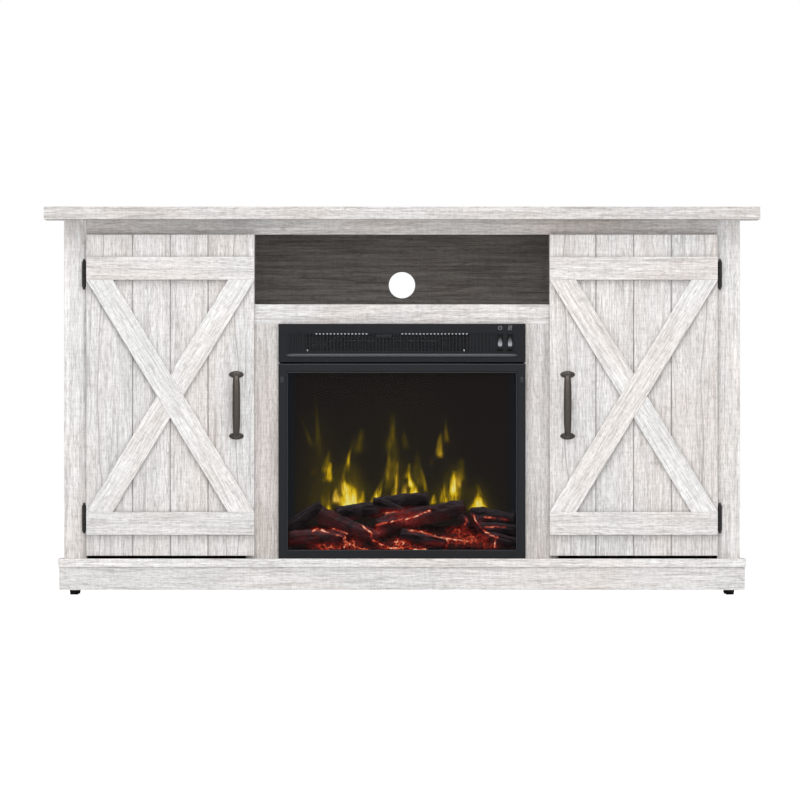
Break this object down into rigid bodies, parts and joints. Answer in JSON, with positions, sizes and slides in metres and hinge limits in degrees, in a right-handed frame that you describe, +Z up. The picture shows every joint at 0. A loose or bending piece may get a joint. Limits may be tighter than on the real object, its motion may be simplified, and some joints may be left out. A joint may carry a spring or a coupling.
{
  "type": "electric fireplace",
  "caption": "Farmhouse media console with hinged barn doors, an open bay and a glass-fronted electric fireplace insert with fan heater.",
  "frame": {"origin": "on the floor, under the middle of the stand", "axes": "+X to the right along the stand, -Y out of the front, +Z up"},
  "size_m": [1.372, 0.394, 0.7436],
  "materials": {
    "whitewash_laminate": "whitewashed oak-print laminate on particle board, satin",
    "dark_laminate": "charcoal oak-print laminate, satin",
    "hardboard": "printed hardboard",
    "pine": "planed pine",
    "black_nylon": "moulded nylon",
    "zinc_steel": "bright zinc",
    "black_hinge_steel": "black powder coat",
    "bronze_zinc": "dark oil-rubbed bronze",
    "black_coated_steel": "satin black powder coat",
    "black_abs": "moulded, fine texture",
    "rocker_abs": "gloss black with a pale lens half",
    "tempered_glass": "smoked, polished",
    "flame_screen_acrylic": "dark translucent screen",
    "log_resin": "moulded and painted as charred bark",
    "ember_resin": "translucent, lit from below",
    "circuit_board": "green solder mask",
    "reflector_foil": "bright foil",
    "motor_steel": "pressed steel can",
    "fan_aluminium": "mill finish",
    "galvanised_sheet": "galvanised",
    "heater_mica": "mica frame with resistance wires"
  },
  "bodies": {
    "cabinet": {"base_panel": "whitewash_laminate", "blower_housing": "galvanised_sheet", "blower_motor": "motor_steel", "cabinet_screws": "zinc_steel", "centre_back_panel": "dark_laminate", "control_board": "circuit_board", "cord_gland": "black_nylon", "corner_blocks": "pine", "ember_bed": "ember_resin", "feet": "black_nylon", "flame_screen": "flame_screen_acrylic", "glass_frame": "black_coated_steel", "glass_pane": "tempered_glass", "heating_element": "heater_mica", "hinge_frame_leaves": "black_hinge_steel", "hinge_pins": "black_hinge_steel", "insert_brackets": "zinc_steel", "insert_casing": "black_coated_steel", "insert_header": "black_abs", "insert_rear_cover": "black_coated_steel", "insert_stiles": "whitewash_laminate", "left_back_panel": "hardboard", "left_partition": "whitewash_laminate", "left_side_panel": "whitewash_laminate", "left_stile": "whitewash_laminate", "light_boards": "circuit_board", "log_set": "log_resin", "media_rail": "whitewash_laminate", "media_shelf": "dark_laminate", "outlet_grille": "black_coated_steel", "plinth_ends": "whitewash_laminate", "plinth_front": "whitewash_laminate", "right_back_panel": "hardboard", "right_partition": "whitewash_laminate", "right_side_panel": "whitewash_laminate", "right_stile": "whitewash_laminate", "rocker_bezels": "black_abs", "rotor_motor": "motor_steel", "shelf_pins": "zinc_steel", "side_shelves": "whitewash_laminate", "top_panel": "whitewash_laminate", "top_rail": "whitewash_laminate"},
    "left_door": {"left_door_panel": "whitewash_laminate", "left_door_rails": "whitewash_laminate", "left_long_brace": "whitewash_laminate", "left_short_braces": "whitewash_laminate", "left_door_handle": "bronze_zinc", "left_door_hinge_leaves": "black_hinge_steel", "left_door_screws": "zinc_steel"},
    "right_door": {"right_door_panel": "whitewash_laminate", "right_door_rails": "whitewash_laminate", "right_long_brace": "whitewash_laminate", "right_short_braces": "whitewash_laminate", "right_door_handle": "bronze_zinc", "right_door_hinge_leaves": "black_hinge_steel", "right_door_screws": "zinc_steel"},
    "power_rocker": {"power_rocker": "rocker_abs"},
    "heat_rocker": {"heat_rocker": "rocker_abs"},
    "flame_rotor": {"flame_rotor": "reflector_foil"},
    "blower_impeller": {"blower_impeller": "fan_aluminium"}
  },
  "joints": [
    {"name": "left_door_hinge", "type": "hinge", "parent": "cabinet", "child": "left_door", "pos_m": [-0.6093, -0.1523, 0.3826], "axis": [0, 0, -1], "range_deg": [0, 105]},
    {"name": "right_door_hinge", "type": "hinge", "parent": "cabinet", "child": "right_door", "pos_m": [0.6093, -0.1523, 0.3826], "axis": [0, 0, 1], "range_deg": [0, 105]},
    {"name": "power_switch", "type": "hinge", "parent": "cabinet", "child": "power_rocker", "pos_m": [0.1881, -0.152, 0.4836], "axis": [1, 0, 0], "range_deg": [0, 16]},
    {"name": "heat_switch", "type": "hinge", "parent": "cabinet", "child": "heat_rocker", "pos_m": [0.2071, -0.152, 0.4836], "axis": [1, 0, 0], "range_deg": [0, 16]},
    {"name": "flame_rotor_spin", "type": "hinge", "parent": "cabinet", "child": "flame_rotor", "pos_m": [0, -0.0395, 0.1312], "axis": [1, 0, 0], "continuous": true},
    {"name": "blower_spin", "type": "hinge", "parent": "cabinet", "child": "blower_impeller", "pos_m": [-0.028, -0.0655, 0.4802], "axis": [1, 0, 0], "continuous": true}
  ]
}
